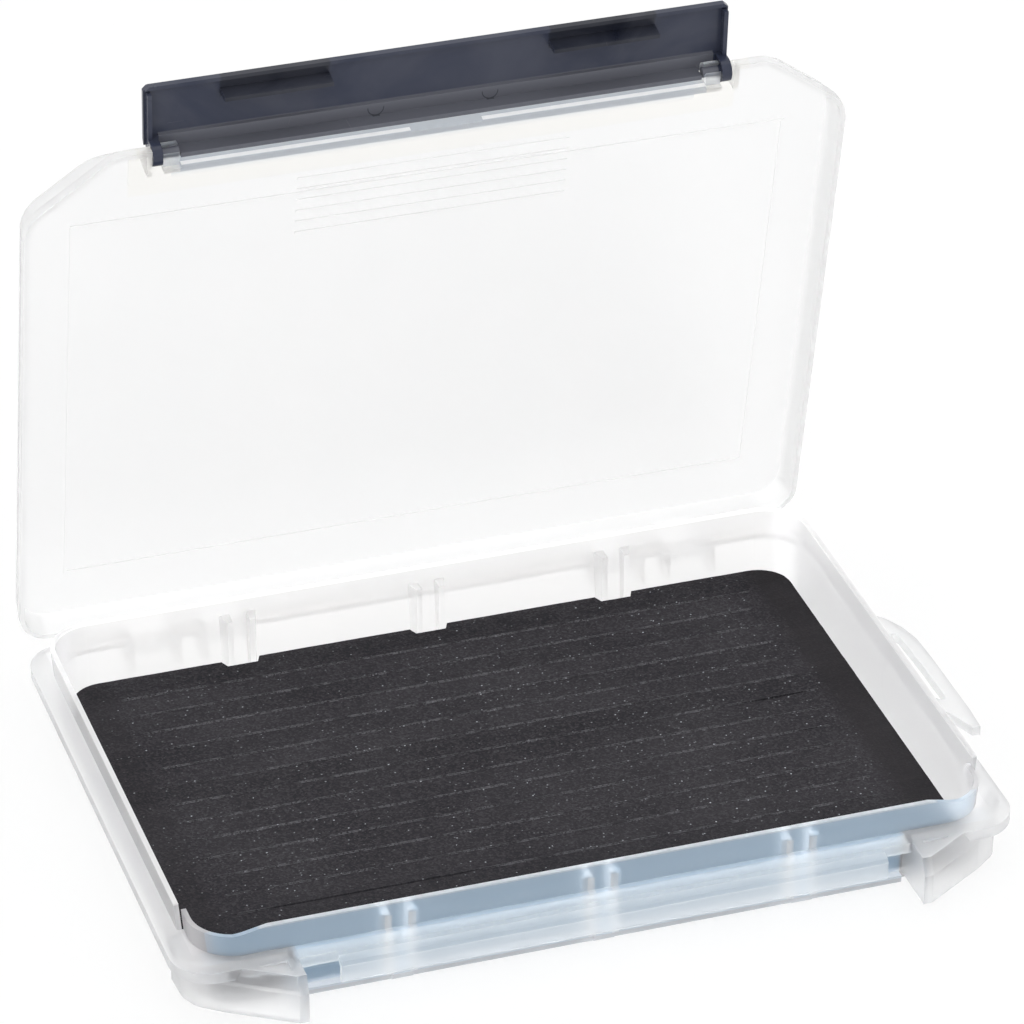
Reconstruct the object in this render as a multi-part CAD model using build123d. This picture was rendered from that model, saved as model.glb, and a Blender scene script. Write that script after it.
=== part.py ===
# Slim moulded lure case, standing open: base tray, lid, latch bar and slit foam mat.
# Millimetres, +Z up. The origin is the centre of the tray's underside; the front is -Y.
# Every piece is drawn with the case shut and then swung to the pose it has in the photograph.
import os
from math import cos, radians, sin

from build123d import *

# Poses of the two moving pieces, measured from the shut case
LID_OPEN = 77.9
LATCH_OPEN = 97.6

# Half of the whole width without the strap loop; the tray, ears, lid and mat take their widths from it
FLANGE_HALF_X = 127.5

# Half of the width of the latch notch; the ears, lid corners, clips and latch bar take their places from it
NOTCH_HALF = 89.0

# Tray body, measured at the top of the lip
LIP_TOP = 26.3
LIP_HALF_X = FLANGE_HALF_X - 6.5
LIP_HALF_Y = 84.6
LIP_CORNER = 10.5
WALL = 1.5
FLOOR = 1.6
DRAFT = 5.0
CORNER_JOG = 2.0
CORNER_JOG_Y = -67.5
CORNER_DIP = 2.2
CORNER_DIP_X = (100.0, 110.0)

# Flange round the tray, with a turned-down rim
FLANGE_TOP = 17.2
FLANGE_PLATE = 1.6
FLANGE_RIM = 3.4
FLANGE_REAR = 90.3
FLANGE_FRONT = -91.5
FLANGE_CORNER = 12.0

# Guard ears on the two front corners of the tray
EAR_INNER_X = NOTCH_HALF + 3.8
EAR_BOTTOM = 2.5
EAR_BEND = 12.0
EAR_WALL = 1.8
EAR_TOP_LINE = [(EAR_INNER_X + 2.8, -99.7), (FLANGE_HALF_X - 13.9, -88.6), (FLANGE_HALF_X - 4.7, -83.2),
                (FLANGE_HALF_X - 0.9, -77.5), (FLANGE_HALF_X, -70.0)]
EAR_BEND_LINE = [(EAR_INNER_X + 2.8, -101.9), (FLANGE_HALF_X - 13.1, -90.2), (FLANGE_HALF_X - 6.2, -84.9),
                 (FLANGE_HALF_X - 3.7, -79.5), (FLANGE_HALF_X - 3.1, -70.0)]
EAR_RECESS = [(EAR_INNER_X + 3.2, -89.5), (EAR_INNER_X + 3.2, -97.0), (EAR_INNER_X + 14.7, -89.5)]
EAR_RECESS_DEPTH = 0.7
EAR_SOFT = 8.0

# Catch rail along the front, the ribs under it and the foot along the bottom edge
RAIL_X = (-81.0, 84.4)
RAIL_FRONT = -94.7
RAIL_CREST = 14.9
RAIL_BOTTOM = 8.0
RAIL_WALL = 1.8
RAIL_RIB = 6.4
RAIL_RIB_FRONT = -86.8
FOOT_FRONT = -86.6
FOOT_TOP = 2.6
FOOT_HALF = 92.0

# Slots for divider plates: pairs of ribs on the inside of the front and rear walls
SLOT_X = (-60.8, 0.0, 60.8)
SLOT_WIDTH = 5.4
SLOT_RIB_FACE = 1.7
SLOT_RIB_TAPER = 1.7
SLOT_RIB_REACH = 79.3
SLOT_RIB_TOP = 21.5

# Strap loop on the right-hand side, with X measured from the flange's edge
LOOP_THICK = 3.0
LOOP_SOFT = 12.0
LOOP_SLOT_SOFT = 1.2
LOOP_OUTLINE = [(-1.5, 29.5), (2.3, 26.0), (5.8, 18.8), (7.5, 11.5), (7.9, 0.0), (8.0, -31.0),
                (7.5, -40.4), (5.1, -40.0), (1.5, -30.5), (-1.5, -27.0)]
LOOP_SLOT = [(0.1, 21.2), (2.9, 14.7), (3.5, -2.0), (3.7, -25.0), (0.1, -20.8)]

# Lid, drawn shut
LID_GAP = 0.3
LID_TOP = 28.3
LID_HALF_X = FLANGE_HALF_X - 0.9
LID_REAR = 88.3
LID_REAR_CORNER = 10.0
LID_SKIRT = 1.5
LID_PANEL = 1.4
LID_RIM_TOP = 20.5
LID_LEAN = 1.2
LID_TOP_EDGE = 0.8

# The lid's cut-off front corners, measured in from its side and back from its front edge. They are drawn for
# CORNER_ROOM of width between the notch and the side, and shrink or grow with the width that there is.
RIM_FRONT = -98.3
TOP_FRONT = -91.9
CORNER_ROOM = 37.6
CORNER_SCALE = (LID_HALF_X - NOTCH_HALF) / CORNER_ROOM
RIM_CORNER = [(0.0, 26.2), (1.0, 21.5), (3.8, 17.8), (25.4, 1.1), (28.2, 0.0)]
TOP_CORNER = [(LID_LEAN, 20.6), (2.6, 16.4), (5.4, 13.0), (20.8, 1.0), (26.1, 0.0)]
LID_SOFT = 8.5 * CORNER_SCALE

# The notch for the latch bar, and the low lines inside the lid
NOTCH_FACE = -91.1
NOTCH_SKIRT = 1.3
BEAD_PROUD = 1.1
BEAD_TOP = 20.0
BEAD_HALF = NOTCH_HALF - 8.8
BEAD_DIP_HALF = 11.0
PAD_HALF = NOTCH_HALF + 4.5
PAD_EDGE_Y = -75.0
PAD_DEEP = 0.3
PAD_CORNER = 6.0
EMBOSS_HALF_X = LID_HALF_X - 16.0
EMBOSS_FRONT = -67.4
EMBOSS_REAR = 70.9
EMBOSS_LINE = 0.9
EMBOSS_HIGH = 0.35
GRIP_RIBS = 6
GRIP_FIRST_Y = -72.4
GRIP_PITCH = 4.1
GRIP_HALF = 42.0

# Lid hinge: trunnions on the lid turn in posts on the tray
HINGE_Y = 91.5
HINGE_Z = 11.5
HINGE_PIN = 1.3
HINGE_FIT = 0.08
BARREL = 2.4
POST_RADIUS = 2.7
POST_THICK = 2.4
POST_X = (56.3, 71.2, 79.8, 94.7)
BARREL_GAP = 0.35
PIN_INTO_POST = 2.0

# Latch bar, drawn shut
PIVOT_Y = -94.1
PIVOT_Z = 21.8
PIVOT_PIN = 1.6
PIVOT_FIT = 0.08
CLIP_RADIUS = 3.0
CLIP_X = (NOTCH_HALF - 8.5, NOTCH_HALF - 3.8)
CLIP_MOUTH = 2.4
LATCH_HALF = NOTCH_HALF + 0.2
LATCH_BOTTOM = 1.4
LATCH_BEAM_Z = 17.6
LATCH_TOP = 23.3
LATCH_FACE = -98.6
LATCH_WALL = 1.4
LATCH_CORNER = 1.6
BEAM_FACE = -97.7
BEAM_HALF = NOTCH_HALF - 4.0
CAP_REACH = -92.6
CAP_THICK = 1.4
CAP_HALF = CLIP_X[0] - 0.8
HOOK_TIP = -93.4
HOOK_TOP = 7.4
HOOK_THICK = 1.9
HOOK_X = (33.5, 66.3)
BOTTOM_LIP = 1.2
LUG_RADIUS = 3.6
LUG_X = (NOTCH_HALF - 3.5, NOTCH_HALF - 0.5)
END_WALL_DEEP = 2.6
END_WALL_THICK = 1.3

# Foam mat
FOAM_HALF_X = LIP_HALF_X - 4.5
FOAM_HALF_Y = LIP_HALF_Y - 2.8
FOAM_CORNER = 10.5
FOAM_TOP = 6.2
FOAM_GAP = 0.3
NOTCH_CLEAR = 0.4


def slab(points, low, high):
    """Straight block over a closed outline, between two heights."""
    return Pos(0, 0, low) * extrude(make_face(Polyline(*points, close=True)), amount=high - low)


def soften(face, points, radius):
    """Flat face with its corners at these points rounded."""
    corners = [v for v in face.vertices() if any(abs(v.X - x) + abs(v.Y - y) < 0.01 for x, y in points)]
    return fillet(corners, radius)


def along_x(points, x0, x1):
    """Straight bar with a Y-Z outline, between two X positions."""
    section = make_face(Polyline(*[(x0, y, z) for y, z in points], close=True))
    return extrude(section, amount=x1 - x0, dir=(1, 0, 0))


def drum(radius, x0, x1, y, z):
    """Round bar along X."""
    return Pos((x0 + x1) / 2, y, z) * Rot(0, 90, 0) * Cylinder(radius, abs(x1 - x0))


def block(x0, x1, y0, y1, z0, z1):
    """Plain box between opposite corners."""
    return Pos((x0 + x1) / 2, (y0 + y1) / 2, (z0 + z1) / 2) * Box(abs(x1 - x0), abs(y1 - y0), abs(z1 - z0))


def both_sides(solid):
    """The solid and its mirror image across the middle of the case."""
    return solid + mirror(solid, about=Plane.YZ)


def drafted(half_x, half_y, corner, low, high):
    """Rounded block whose sides lean out towards the top of the lip."""
    lean = (LIP_TOP - low) * sin(radians(DRAFT)) / cos(radians(DRAFT))
    base = RectangleRounded(2 * (half_x - lean), 2 * (half_y - lean), corner)
    return Pos(0, 0, low) * extrude(base, amount=high - low, taper=-DRAFT)


def tray_volume(grow, low):
    """Tray body from a given height up; the front corners step in by the jog."""
    corner = LIP_CORNER + grow
    wide = drafted(LIP_HALF_X + grow, LIP_HALF_Y + grow, corner, low, LIP_TOP)
    narrow = drafted(LIP_HALF_X - CORNER_JOG + grow, LIP_HALF_Y + grow, corner, low, LIP_TOP)
    far = 200.0
    rear_part = wide & block(-far, far, CORNER_JOG_Y, far, -1, LIP_TOP + 1)
    dip_start, dip_end = CORNER_DIP_X
    crown = LIP_TOP + 1
    low_end = LIP_TOP - CORNER_DIP
    dip = [(dip_start, LIP_TOP), (dip_end, low_end), (far, low_end), (far, -1), (-far, -1), (-far, low_end),
           (-dip_end, low_end), (-dip_start, LIP_TOP)]
    under_dip = extrude(make_face(Polyline(*[(x, CORNER_JOG_Y, z) for x, z in dip], close=True)),
                        amount=far, dir=(0, -1, 0))
    front_part = narrow & under_dip
    return rear_part + front_part


def flange():
    """Flat flange with its turned-down rim."""
    depth = FLANGE_REAR - FLANGE_FRONT
    outline = RectangleRounded(2 * FLANGE_HALF_X, depth, FLANGE_CORNER)
    inside = RectangleRounded(2 * (FLANGE_HALF_X - WALL), depth - 2 * WALL, FLANGE_CORNER - WALL)
    middle = (FLANGE_REAR + FLANGE_FRONT) / 2
    whole = Pos(0, middle, FLANGE_TOP - FLANGE_RIM) * extrude(outline, amount=FLANGE_RIM)
    hollow = Pos(0, middle, FLANGE_TOP - FLANGE_RIM) * extrude(inside, amount=FLANGE_RIM - FLANGE_PLATE)
    return whole - hollow


def ear_outline(line, inset=0.0):
    """Closed outline of one right-hand ear, drawn in from its outer edge by the inset."""
    root = [(LIP_HALF_X - 3.0, -66.0), (EAR_INNER_X, -80.0), (EAR_INNER_X, line[0][1] - 0.2)]
    face = soften(make_face(Polyline(*root, *line, close=True)), line[2:4], EAR_SOFT)
    if inset:
        face = offset(face, amount=-inset, kind=Kind.INTERSECTION)
    return face


def ear():
    """Right-hand guard ear: flat top, steep edge and upright skirt, hollow from below."""
    skirt = Pos(0, 0, EAR_BOTTOM) * extrude(ear_outline(EAR_BEND_LINE), amount=EAR_BEND - EAR_BOTTOM)
    crown = loft([Pos(0, 0, EAR_BEND) * ear_outline(EAR_BEND_LINE),
                  Pos(0, 0, FLANGE_TOP) * ear_outline(EAR_TOP_LINE)], ruled=True)
    room = extrude(ear_outline(EAR_BEND_LINE, EAR_WALL), amount=EAR_BEND)
    room += loft([Pos(0, 0, EAR_BEND) * ear_outline(EAR_BEND_LINE, EAR_WALL),
                  Pos(0, 0, FLANGE_TOP - EAR_WALL) * ear_outline(EAR_TOP_LINE, EAR_WALL)], ruled=True)
    recess = slab(EAR_RECESS, FLANGE_TOP - EAR_RECESS_DEPTH, FLANGE_TOP + 1)
    return skirt + crown - room - recess


def catch_rail():
    """Hooked rail the latch bar grips, with its three ribs and the foot below."""
    back = -(LIP_HALF_Y - 0.5)
    outline = [(back, FLANGE_TOP), (RAIL_FRONT + 7.5, FLANGE_TOP), (RAIL_FRONT + 0.8, RAIL_CREST),
               (RAIL_FRONT, RAIL_CREST - 1.0), (RAIL_FRONT, RAIL_BOTTOM + 0.6),
               (RAIL_FRONT + 0.5, RAIL_BOTTOM), (RAIL_FRONT + RAIL_WALL, RAIL_BOTTOM),
               (RAIL_FRONT + RAIL_WALL, RAIL_CREST - 2.2),
               (RAIL_FRONT + 7.1, FLANGE_TOP - RAIL_WALL), (back, FLANGE_TOP - RAIL_WALL)]
    rail = along_x(outline, *RAIL_X)
    for x in SLOT_X:
        rail += block(x - RAIL_RIB / 2, x + RAIL_RIB / 2, RAIL_RIB_FRONT, back, 0.4, RAIL_CREST - 0.4)
    foot = [(-83.0, 0), (FOOT_FRONT + 0.6, 0), (FOOT_FRONT, 0.6), (FOOT_FRONT, FOOT_TOP), (-83.0, FOOT_TOP)]
    return rail + along_x(foot, -FOOT_HALF, FOOT_HALF)


def strap_loop():
    """Flat loop on the right-hand side for a wrist strap."""
    smooth = LOOP_OUTLINE[1:4] + LOOP_OUTLINE[8:9]
    outline = soften(make_face(Polyline(*LOOP_OUTLINE, close=True)), smooth, LOOP_SOFT)
    slot = soften(make_face(Polyline(*LOOP_SLOT, close=True)), LOOP_SLOT, LOOP_SLOT_SOFT)
    return Pos(FLANGE_HALF_X, 0, FLANGE_TOP - LOOP_THICK) * extrude(outline - slot, amount=LOOP_THICK)


def slot_ribs():
    """Pairs of upright ribs that would hold divider plates."""
    tip = SLOT_WIDTH / 2 + SLOT_RIB_FACE
    root = tip + SLOT_RIB_TAPER
    deep = LIP_HALF_Y + 0.4
    ribs = []
    for x in SLOT_X:
        for side in (-1, 1):
            outline = [(x + side * SLOT_WIDTH / 2, SLOT_RIB_REACH), (x + side * tip, SLOT_RIB_REACH),
                       (x + side * root, deep), (x + side * SLOT_WIDTH / 2, deep)]
            ribs.append(slab(outline, FLOOR - 0.2, SLOT_RIB_TOP))
            ribs.append(slab([(px, -py) for px, py in outline], FLOOR - 0.2, SLOT_RIB_TOP))
    return ribs


def hinge_posts():
    """Right-hand hinge posts with the holes the lid's trunnions turn in."""
    root = LIP_HALF_Y + 0.4
    posts = []
    for x in POST_X:
        x0, x1 = x - POST_THICK / 2, x + POST_THICK / 2
        web = [(root, HINGE_Z - 4.9), (HINGE_Y - 1.0, HINGE_Z - POST_RADIUS + 0.1), (HINGE_Y, HINGE_Z),
               (HINGE_Y - 1.6, HINGE_Z + 2.1), (FLANGE_REAR - 0.1, FLANGE_TOP), (root, FLANGE_TOP)]
        post = along_x(web, x0, x1) + drum(POST_RADIUS, x0, x1, HINGE_Y, HINGE_Z)
        posts.append(post - drum(HINGE_PIN + HINGE_FIT, x0 - 1, x1 + 1, HINGE_Y, HINGE_Z))
    return posts


def base_tray():
    """One-piece moulded tray."""
    outside = tray_volume(WALL, 0.0)
    body = outside + flange() + both_sides(ear()) + catch_rail()
    relief_y = FLANGE_REAR - 2.6
    for near, end in ((0, 1), (2, 3)):
        x0 = POST_X[near] + POST_THICK / 2
        x1 = POST_X[end] - POST_THICK / 2
        body -= both_sides(block(x0, x1, relief_y, HINGE_Y + 7.5, HINGE_Z - 1.5, FLANGE_TOP + 1))
    body += strap_loop()
    for post in hinge_posts():
        body += both_sides(post)
    body -= tray_volume(0.0, FLOOR)
    inside = tray_volume(WALL * 0.6, 0.5)
    for rib in slot_ribs():
        body += rib & inside
    return body


def lid_outline(cut, front_y, half_x, inset):
    """Plan of the shut lid at one height, drawn in from its outer edge by the inset."""
    side = cut[0][0]
    corner = [(-half_x + (x - side) * CORNER_SCALE, front_y + y * CORNER_SCALE) for x, y in cut]
    notch = [(-NOTCH_HALF, front_y), (-NOTCH_HALF, NOTCH_FACE),
             (NOTCH_HALF, NOTCH_FACE), (NOTCH_HALF, front_y)]
    right = [(-x, y) for x, y in reversed(corner)]
    rear = [(half_x, LID_REAR), (-half_x, LID_REAR)]
    face = make_face(Polyline(*corner, *notch, *right, *rear, close=True))
    face = soften(face, corner + right, LID_SOFT)
    face = soften(face, rear, LID_REAR_CORNER)
    return offset(face, amount=-inset, kind=Kind.INTERSECTION) if inset else face


def lid_block(low, high, inset, edge=0.0):
    """Solid of the lid's shape: upright rim below, sides leaning in above it, and a bevelled top edge."""
    rim = lid_outline(RIM_CORNER, RIM_FRONT, LID_HALF_X, inset)
    top = lid_outline(TOP_CORNER, TOP_FRONT, LID_HALF_X - LID_LEAN, inset)
    body = Pos(0, 0, low) * extrude(rim, amount=LID_RIM_TOP - low)
    body += loft([Pos(0, 0, LID_RIM_TOP) * rim, Pos(0, 0, high - edge) * top], ruled=True)
    if edge:
        crown = lid_outline(TOP_CORNER, TOP_FRONT, LID_HALF_X - LID_LEAN, inset + edge)
        body += loft([Pos(0, 0, high - edge) * top, Pos(0, 0, high) * crown], ruled=True)
    return body


def lid_shell():
    """Shallow lid shell, and the thinner skirt along the latch notch."""
    low = FLANGE_TOP + LID_GAP
    shell = lid_block(low, LID_TOP, 0.0, LID_TOP_EDGE)
    room = lid_block(low, LID_TOP - LID_PANEL, LID_SKIRT)
    half = NOTCH_HALF - 1.0
    room += block(-half, half, NOTCH_FACE + NOTCH_SKIRT, NOTCH_FACE + LID_SKIRT + 1, low, LID_TOP - LID_PANEL)
    return shell - room


def lid_trim():
    """Low lines on the underside of the lid panel."""
    under = LID_TOP - LID_PANEL
    wide = block(-EMBOSS_HALF_X, EMBOSS_HALF_X, EMBOSS_FRONT, EMBOSS_REAR, under - EMBOSS_HIGH, under + 0.2)
    small = block(-EMBOSS_HALF_X + EMBOSS_LINE, EMBOSS_HALF_X - EMBOSS_LINE, EMBOSS_FRONT + EMBOSS_LINE,
                  EMBOSS_REAR - EMBOSS_LINE, under - 2, under + 1)
    trim = [wide - small]
    for k in range(GRIP_RIBS):
        y = GRIP_FIRST_Y + k * GRIP_PITCH
        trim.append(block(-GRIP_HALF, GRIP_HALF, y - 0.4, y + 0.4, under - EMBOSS_HIGH, under + 0.2))
    back = NOTCH_FACE + 0.5
    pad = extrude(RectangleRounded(2 * PAD_HALF, 2 * (PAD_EDGE_Y - back), PAD_CORNER), amount=PAD_DEEP + 0.2)
    pad = Pos(0, back, under - PAD_DEEP) * pad
    trim.append(pad & block(-PAD_HALF, PAD_HALF, back, PAD_EDGE_Y, under - 1, under + 1))
    return trim


def notch_bead():
    """Thick bead along the bottom of the notch skirt, a little thinner in the middle."""
    low = FLANGE_TOP + LID_GAP
    front = NOTCH_FACE - BEAD_PROUD
    outline = [(NOTCH_FACE + 0.4, low), (front + 0.4, low), (front, low + 0.4),
               (front, BEAD_TOP - 0.8), (NOTCH_FACE, BEAD_TOP), (NOTCH_FACE + 0.4, BEAD_TOP)]
    bead = along_x(outline, -BEAD_HALF, BEAD_HALF)
    dip = block(-BEAD_DIP_HALF, BEAD_DIP_HALF, front - 2, front + BEAD_PROUD / 2, low - 1, BEAD_TOP + 1)
    return bead - dip


def latch_clip():
    """Right-hand C-shaped clip that holds one latch trunnion, open to the front and below."""
    x0, x1 = CLIP_X
    arm = block(x0, x1, PIVOT_Y, NOTCH_FACE + 0.6, PIVOT_Z - CLIP_RADIUS + 0.2, PIVOT_Z + CLIP_RADIUS - 0.8)
    clip = arm + drum(CLIP_RADIUS, x0, x1, PIVOT_Y, PIVOT_Z)
    clip -= drum(PIVOT_PIN + PIVOT_FIT, x0 - 1, x1 + 1, PIVOT_Y, PIVOT_Z)
    mouth = block(x0 - 1, x1 + 1, -6, 0, -CLIP_MOUTH / 2, CLIP_MOUTH / 2)
    return clip - Pos(0, PIVOT_Y, PIVOT_Z) * Rot(35, 0, 0) * mouth


def lid_barrels():
    """Right-hand hinge barrels with their arms and trunnions."""
    barrels = []
    for near, end in ((0, 1), (2, 3)):
        x0 = POST_X[near] + POST_THICK / 2 + BARREL_GAP
        x1 = POST_X[end] - POST_THICK / 2 - BARREL_GAP
        arm = [(HINGE_Y - 0.9, HINGE_Z), (HINGE_Y + BARREL, HINGE_Z), (HINGE_Y + BARREL, HINGE_Z + 3.6),
               (HINGE_Y + 0.6, LID_RIM_TOP + 0.3), (LID_REAR - 0.8, LID_RIM_TOP + 3.8),
               (LID_REAR - 0.8, FLANGE_TOP + LID_GAP), (HINGE_Y - 1.6, FLANGE_TOP + LID_GAP)]
        piece = along_x(arm, x0, x1) + drum(BARREL, x0, x1, HINGE_Y, HINGE_Z)
        pin_x0 = x0 - BARREL_GAP - PIN_INTO_POST
        pin_x1 = x1 + BARREL_GAP + PIN_INTO_POST
        barrels.append(piece + drum(HINGE_PIN, pin_x0, pin_x1, HINGE_Y, HINGE_Z))
    return barrels


def lid():
    """One-piece moulded lid, shut."""
    body = lid_shell()
    for line in lid_trim():
        body += line
    body += notch_bead()
    window = block(CLIP_X[1] + 0.1, NOTCH_HALF - 0.1, NOTCH_FACE - 1, NOTCH_FACE + LID_SKIRT + 0.6,
                   FLANGE_TOP - 0.2, LID_TOP - 2.3)
    body -= both_sides(window)
    body += both_sides(latch_clip())
    for barrel in lid_barrels():
        body += both_sides(barrel)
    return body


def latch_bar():
    """One-piece latch bar with its hooks, stiff beam and cap wall, end walls, lugs and trunnions, shut."""
    outer = LATCH_FACE - LATCH_WALL
    lip = LATCH_FACE + BOTTOM_LIP
    plate = along_x([(outer, LATCH_BOTTOM + 0.5), (outer + 0.5, LATCH_BOTTOM), (lip, LATCH_BOTTOM),
                     (lip, LATCH_BOTTOM + 1.2), (LATCH_FACE, LATCH_BOTTOM + 1.2),
                     (LATCH_FACE, LATCH_TOP - 2.2), (outer + 0.9, LATCH_TOP - 2.2), (outer, LATCH_TOP - 3.6)],
                    -LATCH_HALF, LATCH_HALF)
    for side in (-1, 1):
        cut = Pos(side * LATCH_HALF, LATCH_FACE, LATCH_BOTTOM) * Rot(0, 45, 0)
        plate -= cut * Box(LATCH_CORNER * 2 ** 0.5, 9, LATCH_CORNER * 2 ** 0.5)
    beam = along_x([(LATCH_FACE - 0.8, LATCH_BEAM_Z), (BEAM_FACE, LATCH_BEAM_Z + 0.5), (BEAM_FACE, LATCH_TOP),
                    (BEAM_FACE - 1.5, LATCH_TOP), (outer + 0.4, LATCH_TOP - 2.6)], -BEAM_HALF, BEAM_HALF)
    hook = along_x([(LATCH_FACE - 0.5, HOOK_TOP - HOOK_THICK), (HOOK_TIP, HOOK_TOP - HOOK_THICK + 0.7),
                    (HOOK_TIP, HOOK_TOP), (LATCH_FACE - 0.5, HOOK_TOP)], *HOOK_X)
    cap = block(-CAP_HALF, CAP_HALF, BEAM_FACE - 0.5, CAP_REACH, LATCH_TOP - CAP_THICK, LATCH_TOP)
    bar = plate + beam + cap + both_sides(hook)
    end_wall = block(LUG_X[1] - END_WALL_THICK, LUG_X[1], LATCH_FACE - 0.5, LATCH_FACE + END_WALL_DEEP,
                     LATCH_BOTTOM + LATCH_CORNER + 0.4, PIVOT_Z)
    lug = drum(LUG_RADIUS, *LUG_X, PIVOT_Y, PIVOT_Z)
    lug += block(*LUG_X, LATCH_FACE - 0.5, PIVOT_Y, PIVOT_Z - LUG_RADIUS, PIVOT_Z + 1.2)
    web = block(BEAM_HALF - 0.5, LUG_X[1], LATCH_FACE - 0.8, BEAM_FACE, LATCH_BEAM_Z + 0.5, LATCH_TOP - 2.2)
    pin = drum(PIVOT_PIN, CLIP_X[0] - 0.4, LUG_X[0] + 0.5, PIVOT_Y, PIVOT_Z)
    return bar + both_sides(end_wall + lug + web + pin)


def foam_mat():
    """Foam mat lying on the tray floor, notched round the divider ribs."""
    low = FLOOR + FOAM_GAP
    outline = RectangleRounded(2 * FOAM_HALF_X, 2 * FOAM_HALF_Y, FOAM_CORNER)
    mat = Pos(0, 0, low) * extrude(outline, amount=FOAM_TOP - low)
    deep = SLOT_RIB_REACH - NOTCH_CLEAR
    narrow = SLOT_WIDTH / 2 + SLOT_RIB_FACE + NOTCH_CLEAR
    wide = narrow + SLOT_RIB_TAPER
    for x in SLOT_X:
        notch = [(x - narrow, deep), (x + narrow, deep),
                 (x + wide, FOAM_HALF_Y + 1), (x - wide, FOAM_HALF_Y + 1)]
        mat -= slab(notch, 0, FOAM_TOP + 1)
        mat -= slab([(px, -py) for px, py in notch], 0, FOAM_TOP + 1)
    return mat


def swung(solid, y, z, degrees):
    """Turned open about a line along X; opening lifts the front."""
    return solid.rotate(Axis((0, y, z), (1, 0, 0)), -degrees)


def main():
    os.makedirs("parts", exist_ok=True)
    latch = swung(latch_bar(), PIVOT_Y, PIVOT_Z, LATCH_OPEN)
    pieces = {
        "base_tray": base_tray(),
        "lid": swung(lid(), HINGE_Y, HINGE_Z, LID_OPEN),
        "latch_bar": swung(latch, HINGE_Y, HINGE_Z, LID_OPEN),
        "foam_mat": foam_mat(),
    }
    for name, piece in pieces.items():
        export_step(piece, f"parts/{name}.step")


main()
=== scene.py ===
"""Dressed model of a slim lure case: milky tray and lid, a smoke-blue latch bar and a slit foam mat."""
import math

import bmesh
import bpy
from mathutils import Matrix, Vector


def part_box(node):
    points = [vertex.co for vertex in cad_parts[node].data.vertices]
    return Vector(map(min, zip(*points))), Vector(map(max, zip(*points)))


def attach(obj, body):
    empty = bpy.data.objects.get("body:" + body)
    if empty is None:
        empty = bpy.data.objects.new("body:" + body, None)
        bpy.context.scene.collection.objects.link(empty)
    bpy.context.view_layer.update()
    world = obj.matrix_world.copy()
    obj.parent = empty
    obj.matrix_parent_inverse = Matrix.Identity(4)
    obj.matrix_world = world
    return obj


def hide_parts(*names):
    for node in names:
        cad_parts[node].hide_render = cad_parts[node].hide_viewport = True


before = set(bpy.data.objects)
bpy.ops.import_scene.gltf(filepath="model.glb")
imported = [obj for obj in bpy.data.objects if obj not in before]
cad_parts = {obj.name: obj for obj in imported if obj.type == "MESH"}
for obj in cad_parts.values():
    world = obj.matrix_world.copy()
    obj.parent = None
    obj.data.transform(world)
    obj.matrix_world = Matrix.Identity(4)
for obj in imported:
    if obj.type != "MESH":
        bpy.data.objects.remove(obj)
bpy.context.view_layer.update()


# Base tray. One thin-walled moulding in milky polypropylene, with the catch rail, the guard ears, the strap
# loop and the hinge posts on it. Its skin is satin from the mould, with faint flow marks. Light and shade are
# painted on it: a blue glow over the front wall for the dark mat behind it, a lighter glow on the ribs and
# the rail, a painted highlight along the lip's edge, and painted shade on the foot where the mat shows
# through.
MM = 0.001
SATIN_GRAIN = 1400.0
FLOW_MARKS = 22.0
SCUFF_LAYS = ((0.5, (55.0, 9.0, 20.0)), (-0.9, (8.0, 60.0, 20.0)))
SCUFF_WIDTH = 0.006
SCUFF_PATCHES = 70.0
PLASTIC_IOR = 1.35
TRAY_MILK = (0.995, 0.99, 0.985, 1.0)
TRAY_SHADE = (0.975, 0.975, 0.975, 1.0)
TRAY_FOOT_SHADE = (0.82, 0.835, 0.865, 1.0)
TRAY_CLEAR = 0.93
TRAY_BODY = 0.65
# Painted light: a weak glow stands for the light that milky plastic scatters inside itself, with a colour for
# each region.
GLOW = 0.4
SKIN_GLOW = (0.08, 0.085, 0.095, 1.0)
WALL_GLOW = (0.22, 0.37, 0.52, 1.0)
RAIL_GLOW = (0.23, 0.24, 0.235, 1.0)
INNER_GLOW = (0.11, 0.105, 0.105, 1.0)
SIDE_GLOW = (0.24, 0.235, 0.25, 1.0)
RIB_GLOW = (0.58, 0.62, 0.66, 1.0)
LIP_EDGE_HIGHLIGHT = (0.8, 0.8, 0.8, 1.0)
LIP_TOP = 26.3
LIP_HALF_X = 121.0
WALL_LEAN = 0.0875
EDGE_BAND = 0.4
FLOOR_TOP = 2.0
FLANGE_TOP = 17.4
INSIDE_HALF_X = LIP_HALF_X + 0.6
INSIDE_Y = (-79.0, 90.0)
SIDE_WALL_X = (LIP_HALF_X - 8.0, LIP_HALF_X - 5.0)
FRONT_WALL_Y = (-87.0, -80.8)
FRONT_WALL_HALF = LIP_HALF_X - 4.0
FRONT_WALL_TOP = LIP_TOP - 0.7
RAIL_Y = (-100.0, FRONT_WALL_Y[0] - 0.3)
RAIL_BOTTOM = 7.5
FOOT_FRONT = -90.0
FOOT_HALF = 92.0
SLOT_RIBS_X = (-60.8, 0.0, 60.8)
SLOT_RIB_OFF = 3.55
SLOT_RIB_HALF = 0.95
SLOT_RIB_Y = (-87.0, -78.5)
SLOT_RIB_TOP = 21.6


def put(tree, kind, inputs=None, **settings):
    """Adds a node. Its inputs take numbers, colours or other nodes' outputs; settings are its properties."""
    made = tree.nodes.new(kind)
    for name, value in settings.items():
        setattr(made, name, value)
    for name, value in (inputs or {}).items():
        if isinstance(value, bpy.types.NodeSocket):
            tree.links.new(value, made.inputs[name])
        else:
            made.inputs[name].default_value = value
    return made


def calc(tree, operation, *values, clamp=False):
    """The output of a Math node."""
    made = put(tree, "ShaderNodeMath", dict(enumerate(values)), operation=operation, use_clamp=clamp)
    return made.outputs["Value"]


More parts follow.
